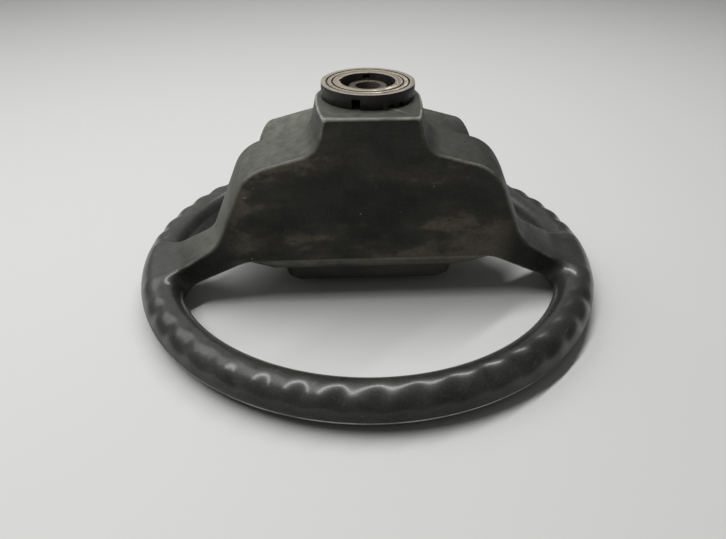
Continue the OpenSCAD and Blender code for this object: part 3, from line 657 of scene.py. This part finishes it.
# Dried dirt: cloudy patches with some hard edges, more of it low down, and scattered pale specks
def makeDirtGroup():
    group, into, out = newGroup("dried dirt", [("Color", "color"), ("Film", "color"), ("Speck", "color"),
                                               ("Amount", "value"), ("Low", "value"), ("High", "value")],
                                [("Color", "color"), ("Mask", "value")])
    place = objectPlace(group)
    flat = addNode(group, "ShaderNodeMapping", None, {"Vector": place, "Scale": (0.75, 1.0, 1.5)}).outputs[0]
    height = addNode(group, "ShaderNodeSeparateXYZ", None, {0: place}).outputs["Z"]
    lower = addNode(group, "ShaderNodeMapRange", None,
                    {"Value": height, "From Min": into.outputs["Low"], "From Max": into.outputs["High"],
                     "To Min": 0.09, "To Max": -0.05}).outputs[0]
    cloud = addMath(group, "ADD", addNoise(group, flat, 10.0, 8.0, 0.6), lower)
    hard, soft = addRange(group, cloud, 0.52, 0.56), addRange(group, cloud, 0.43, 0.62)
    fine = addRange(group, addNoise(group, place, 240.0, 6.0, 0.75), 0.35, 0.65, 0.6, 1.0)
    patches = addMath(group, "MULTIPLY", addMath(group, "ADD", addMath(group, "MULTIPLY", hard, 0.5),
                                                 addMath(group, "MULTIPLY", soft, 0.5)), fine)
    mask = addMath(group, "MULTIPLY", patches, into.outputs["Amount"], True)
    cells = addNode(group, "ShaderNodeTexVoronoi", None, {"Vector": place, "Scale": 130.0})
    chosen = addNode(group, "ShaderNodeSeparateColor", None, {0: cells.outputs["Color"]}).outputs[0]
    dots = addMath(group, "MULTIPLY", addRange(group, cells.outputs["Distance"], 0.13, 0.05),
                   addRange(group, chosen, 0.93, 0.96))
    filmed = addMix(group, mask, into.outputs["Color"], into.outputs["Film"])
    specks = addMath(group, "MULTIPLY", dots, addMath(group, "MULTIPLY", into.outputs["Amount"], 0.6))
    group.links.new(addMix(group, specks, filmed, into.outputs["Speck"]), out.inputs["Color"])
    group.links.new(mask, out.inputs["Mask"])
    return group


dirtGroup = makeDirtGroup()


# The moulding: charcoal skin with dried dirt, a pale tone on what faces up that is dust and painted top light,
# stronger on the left and rear as painted light, pale edges that are wear and painted highlight, a pale line round
# the rim's underside that is a painted reflection, and a hand-polished rim
def coverMaterial():
    material, tree, shader = newMaterial("cover skin")
    place = objectPlace(tree)
    xyz = addNode(tree, "ShaderNodeSeparateXYZ", None, {0: place})
    out = addNode(tree, "ShaderNodeVectorMath", {"operation": "LENGTH"},
                  {0: addNode(tree, "ShaderNodeCombineXYZ", None, {0: xyz.outputs[0], 1: xyz.outputs[1]}).outputs[0]})
    near = grip["ringRadius"] - grip["radius"]
    onRim = addRange(tree, out.outputs["Value"], (near - 40) * mm, (near + 8) * mm)
    onHousing = addMath(tree, "SUBTRACT", 1.0, onRim)
    skin = addMix(tree, onRim, cover["skin"], cover["rimSkin"])
    mottle = addNoise(tree, place, 38.0, 7.0, 0.6)
    skin = addMix(tree, addRange(tree, mottle, 0.35, 0.7, 0.0, cover["mottle"]), skin, cover["worn"])
    flecks = addRange(tree, addNoise(tree, place, 620.0, 3.0, 0.7), 0.45, 0.75, 0.0, cover["flecks"])
    skin = addMix(tree, flecks, skin, cover["worn"])
    facing = addNode(tree, "ShaderNodeSeparateXYZ", None,
                     {0: addNode(tree, "ShaderNodeNewGeometry").outputs["Normal"]})
    flatness = addMath(tree, "ABSOLUTE", facing.outputs["Y"])
    onBody = addMath(tree, "MULTIPLY", onHousing, addRange(tree, addMath(tree, "ABSOLUTE", xyz.outputs[0]),
                                                           spokeRootX * mm, (spokeRootX - 25) * mm))
    dirty = addMath(tree, "MULTIPLY", onBody, addRange(tree, flatness, 0.5, 0.95))
    dirt = useGroup(tree, dirtGroup, {"Color": skin, "Film": cover["film"], "Speck": cover["speck"], "Amount": dirty,
                                      "Low": housing["floor"] * mm, "High": housing["neckTop"] * mm})
    # a pale line round the rim's lower outer side, a painted reflection of the bright floor seen at a grazing angle
    reach = addMath(tree, "SUBTRACT", out.outputs["Value"], grip["ringRadius"] * mm)
    level = addMath(tree, "SUBTRACT", xyz.outputs[2], grip["radius"] * mm)
    turn = addMath(tree, "ARCTAN2", level, reach)
    offLine = addMath(tree, "ABSOLUTE", addMath(tree, "SUBTRACT", turn, math.radians(grip["reflectionLineAngle"])))
    paintedReflectionLine = addMath(tree, "MULTIPLY", addMath(tree, "MULTIPLY", addRange(tree, offLine, 0.09, 0.03), onRim),
                   addRange(tree, addNoise(tree, place, 30.0, 5.0, 0.6), 0.35, 0.6, 0.35, 1.0))
    # more dust and painted top light on the housing than on the rim, and more of it on the left and on the rear half,
    # as painted light from the left and from behind
    settled = addNode(tree, "ShaderNodeMapRange", None, {"Value": onRim, "To Min": cover["settled"][0],
                                                         "To Max": cover["settled"][1]}).outputs[0]
    side = addMath(tree, "MULTIPLY",
                   addRange(tree, xyz.outputs[0], -cover["sideReach"], cover["sideReach"], *cover["sides"]),
                   addRange(tree, xyz.outputs[1], 0.01, 0.04, 1.0, cover["behind"]))
    side = addMath(tree, "MULTIPLY", side, addRange(tree, xyz.outputs[2], (housing["neckTop"] - 20) * mm,
                                                    (housing["neckTop"] - 5) * mm, 1.0, cover["onTop"]))
    edge = addNode(tree, "ShaderNodeAttribute", {"attribute_name": "edgeTurn"})
    # the pale edges are wear and a painted highlight, which grows with height so that the upper edges look lit
    wearAndHighlight = addRange(tree, xyz.outputs[2], (housing["floor"] - 8) * mm, (housing["floor"] + 60) * mm,
                       *cover["wearAndHighlight"])
    wearAndHighlight = addMath(tree, "MAXIMUM", wearAndHighlight, addMath(tree, "MULTIPLY", onRim, cover["rimWear"]))
    worn = useGroup(tree, wearAndHighlightGroup, {"Color": dirt.outputs["Color"], "Worn": cover["worn"], "Amount": wearAndHighlight,
                                      "Edge": addRange(tree, edge.outputs["Fac"], *cover["edgeToneTurn"])})
    withReflectionLine = addMix(tree, paintedReflectionLine, worn.outputs["Color"], cover["paintedReflectionLine"])
    dust = useGroup(tree, dustAndTopLightGroup, {"Color": withReflectionLine, "Dust": cover["dust"],
                                      "Up": addMath(tree, "MULTIPLY", settled, side),
                                      "Patches": 0.03, "Scale": 160.0})
    scratches = useGroup(tree, scratchGroup, {"Scale": 70.0, "Amount": cover["scratches"]})
    tree.links.new(addMix(tree, scratches.outputs["Mask"], dust.outputs["Color"], cover["dust"]),
                   shader.inputs["Base Color"])
    rough = addNode(tree, "ShaderNodeMapRange", None, {"Value": onRim, "To Min": cover["housingRough"],
                                                       "To Max": cover["rimRough"]}).outputs[0]
    mottled = addRange(tree, addNoise(tree, place, 55.0, 6.0, 0.7), 0.3, 0.7, -0.07, 0.09)
    dulled = addMath(tree, "MULTIPLY", addMath(tree, "ADD", dust.outputs["Mask"], dirt.outputs["Mask"]), 0.22)
    tree.links.new(addMath(tree, "ADD", addMath(tree, "ADD", rough, mottled), dulled, True),
                   shader.inputs["Roughness"])
    tree.links.new(addNode(tree, "ShaderNodeMapRange", None, {"Value": onRim, "To Min": cover["housingGloss"],
                                                              "To Max": cover["rimGloss"]}).outputs[0],
                   shader.inputs["Specular IOR Level"])
    polished = addMath(tree, "MULTIPLY", onRim, addRange(tree, facing.outputs["Z"], 0.0, 0.5, 0.0, cover["polish"]))
    tree.links.new(polished, shader.inputs["Coat Weight"])
    shader.inputs["Coat Roughness"].default_value = cover["polishRough"]
    grain = useGroup(tree, grainGroup, {"Scale": 900.0})
    addBump(tree, shader, grain.outputs["Height"], cover["grain"], 0.0004)
    return material


# Plain moulded plastic, grained
def plasticMaterial(name, base, dustTint, rough, up=0.3, grainScale=1200.0, bump=0.2):
    material, tree, shader = newMaterial(name)
    # the pale tone on faces that look up is dust and painted top light
    dust = useGroup(tree, dustAndTopLightGroup, {"Color": base, "Dust": dustTint, "Up": up, "Patches": 0.25, "Scale": 300.0})
    scratches = useGroup(tree, scratchGroup, {"Scale": 120.0, "Amount": 0.35})
    tree.links.new(addMix(tree, scratches.outputs["Mask"], dust.outputs["Color"], dustTint),
                   shader.inputs["Base Color"])
    tree.links.new(addMath(tree, "ADD", addMath(tree, "MULTIPLY", dust.outputs["Mask"], 0.3), rough, True),
                   shader.inputs["Roughness"])
    grain = useGroup(tree, grainGroup, {"Scale": grainScale})
    addBump(tree, shader, grain.outputs["Height"], bump, 0.0002)
    return material


# Metal with a dull film that is thicker in patches
def metalMaterial(name, base, film, rough, filmAmount=0.5, streaks=140.0):
    material, tree, shader = newMaterial(name)
    place = objectPlace(tree)
    patches = addRange(tree, addNoise(tree, place, 120.0, 7.0, 0.7), 0.35, 0.7, 0.0, filmAmount)
    scratches = useGroup(tree, scratchGroup, {"Scale": streaks, "Amount": 0.5})
    covered = addMath(tree, "SUBTRACT", patches, addMath(tree, "MULTIPLY", scratches.outputs["Mask"], patches), True)
    tree.links.new(addMix(tree, covered, base, film), shader.inputs["Base Color"])
    tree.links.new(addRange(tree, covered, 0.0, 1.0, 1.0, 0.25), shader.inputs["Metallic"])
    tree.links.new(addMath(tree, "ADD", addMath(tree, "MULTIPLY", covered, 0.4), rough, True),
                   shader.inputs["Roughness"])
    fine = addNoise(tree, place, 700.0, 4.0, 0.6)
    addBump(tree, shader, fine, 0.15, 0.0002)
    return material


# The carrier's plastic: its face has worn to tan, its sides stay dark
def carrierMaterial():
    material, tree, shader = newMaterial("carrier plastic")
    geometry = addNode(tree, "ShaderNodeNewGeometry")
    facing = addNode(tree, "ShaderNodeSeparateXYZ", None, {0: geometry.outputs["Normal"]}).outputs["Z"]
    height = addNode(tree, "ShaderNodeSeparateXYZ", None, {0: objectPlace(tree)}).outputs["Z"]
    top = addMath(tree, "MULTIPLY", addRange(tree, facing, 0.3, 0.8),
                  addRange(tree, height, (carrierTop - 0.9) * mm, (carrierTop - 0.2) * mm))
    blotch = addRange(tree, addNoise(tree, objectPlace(tree), 150.0, 6.0, 0.7), 0.35, 0.7, 0.0, 0.6)
    face = addMix(tree, blotch, tint(150, 142, 130), tint(112, 102, 88))
    sides = addMix(tree, blotch, tint(20, 19, 17), tint(44, 39, 32))
    tree.links.new(addMix(tree, top, sides, face), shader.inputs["Base Color"])
    tree.links.new(addRange(tree, blotch, 0.0, 0.6, 0.42, 0.62), shader.inputs["Roughness"])
    addBump(tree, shader, addNoise(tree, objectPlace(tree), 500.0, 4.0, 0.6), 0.25, 0.0003)
    return material


def dress(piece, material):
    piece.data.materials.clear()
    piece.data.materials.append(material)


def dressNode(node, material):
    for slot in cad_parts[node].material_slots:
        slot.material = material


moulding = makeMoulding()
dress(moulding, coverMaterial())
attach(moulding, "wheel")
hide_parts("grip_cover")

dustTint = tint(118, 114, 102)
brass = metalMaterial("contact brass", tint(176, 166, 150), tint(132, 122, 108), 0.42, 0.9)
hubSteel = metalMaterial("hub steel", tint(94, 89, 80), tint(70, 63, 53), 0.42, 0.7)
plainSteel = metalMaterial("pressed steel", tint(168, 168, 164), tint(110, 98, 84), 0.42, 0.5)
zinc = metalMaterial("zinc plate", tint(186, 184, 170), tint(130, 124, 104), 0.38, 0.45)
cleanBrass = metalMaterial("clean brass", tint(214, 182, 116), tint(150, 118, 70), 0.3, 0.4)
padSkin = plasticMaterial("pad skin", tint(34, 34, 32), dustTint, 0.5)
nylon = plasticMaterial("nylon", tint(216, 210, 190), tint(160, 150, 130), 0.4, 0.2, 2400.0, 0.05)
fibre = plasticMaterial("fibre board", tint(116, 74, 48), tint(90, 70, 50), 0.6, 0.1, 1800.0, 0.1)

for node, name, material, slot, width in (
        ("contact_carrier", "contact_ring_body", carrierMaterial(), "carrier_plastic", 0.35),
        ("outer_slip_ring", "outer_contact_ring", brass, "ring_brass", 0.2),
        ("inner_slip_ring", "inner_contact_ring", brass, "ring_brass", 0.2),
        ("hub_boss", "hub", hubSteel, "hub_steel", 0.3)):
    piece = easedCopy(node, name, width)
    dress(piece, material)
    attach(piece, "wheel")
    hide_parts(node)
pad = easedCopy("horn_pad", "pad_cover", 1.2, 3, 40)
dress(pad, padSkin)
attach(pad, "horn")
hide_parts("horn_pad")

# In the real horn each spring's upper end stays with the base and its lower end goes with the pad; here each spring
# is a plain copy of its node, left in place
for i in range(1, 5):
    node = f"horn_spring_{i}"
    spring = bpy.data.objects.new(f"return_spring_{i}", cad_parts[node].data.copy())
    bpy.context.scene.collection.objects.link(spring)
    dress(spring, hubSteel)
    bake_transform(spring)
    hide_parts(node)

finishes = {
    plainSteel: ["rim_ring", "spoke_plate", "crash_can"],
    zinc: ["horn_base", "pad_plate"],
    hubSteel: ["carrier_screws", "base_screws", "base_sleeves", "pad_screws"]
              + [f"guide_pin_{i}" for i in range(1, 5)],
    cleanBrass: ["fixed_contact_left", "fixed_contact_right", "moving_contact_left", "moving_contact_right",
                 "terminal_tab"],
    nylon: [f"guide_bush_{i}" for i in range(1, 5)],
    fibre: ["insulator_left", "insulator_right"],
}
for material, nodes in finishes.items():
    for node in nodes:
        dressNode(node, material)
print("pieces dressed")

studio = {
    "floor": tint(200, 200, 198),
    "floorSize": 6.0,
    "target": (0.0, 0.0, 0.06),
    "lamps": {              # place, size and power of each
        "strip": ((-0.15, 0.16, 1.50), (2.2, 0.10), 25.0),
        "left": ((-1.10, 0.40, 1.40), (1.2, 1.0), 9.0),
        "back": ((-0.50, 1.70, 1.00), (2.4, 1.0), 3.0),
    },
    "fill": 0.14,
}


def makeFloor():
    half = studio["floorSize"] / 2
    corners = np.array([[-half, -half, 0], [half, -half, 0], [half, half, 0], [-half, half, 0]]) / mm
    floor = makeMesh("floor", corners, [[0, 1, 2, 3]])
    material, tree, shader = newMaterial("floor")
    shader.inputs["Base Color"].default_value = studio["floor"]
    shader.inputs["Roughness"].default_value = 0.7
    dress(floor, material)


def makeLights():
    for name, (place, size, power) in studio["lamps"].items():
        data = bpy.data.lights.new(name, "AREA")
        data.shape = "RECTANGLE"
        data.size, data.size_y = size
        data.energy = power
        lamp = bpy.data.objects.new(name, data)
        lamp.location = place
        lamp.rotation_euler = (lamp.location - Vector(studio["target"])).to_track_quat("Z", "Y").to_euler()
        bpy.context.scene.collection.objects.link(lamp)
    world = bpy.data.worlds.new("studio")
    world.use_nodes = True
    back = world.node_tree.nodes["Background"]
    back.inputs[0].default_value = (1, 1, 1, 1)
    back.inputs[1].default_value = studio["fill"]
    bpy.context.scene.world = world


view = {
    "place": (-0.02446, -0.43070, 0.29120),
    "pitch": 34.31,         # degrees down from level
    "heading": 2.78,        # degrees clockwise from +Y, seen from above
    "focal": 579.16,        # pixels, for a picture 726 wide
    "pictureWidth": 726,
}


def makeCamera():
    data = bpy.data.cameras.new("camera")
    data.sensor_width = 36.0
    data.lens = view["focal"] / view["pictureWidth"] * data.sensor_width
    data.clip_start = 0.01
    camera = bpy.data.objects.new("camera", data)
    camera.location = view["place"]
    camera.rotation_euler = (math.radians(90 - view["pitch"]), 0, -math.radians(view["heading"]))
    bpy.context.scene.collection.objects.link(camera)
    bpy.context.scene.camera = camera


makeFloor()
makeLights()
makeCamera()
bpy.context.scene.view_settings.view_transform = "Standard"
print("studio ready")
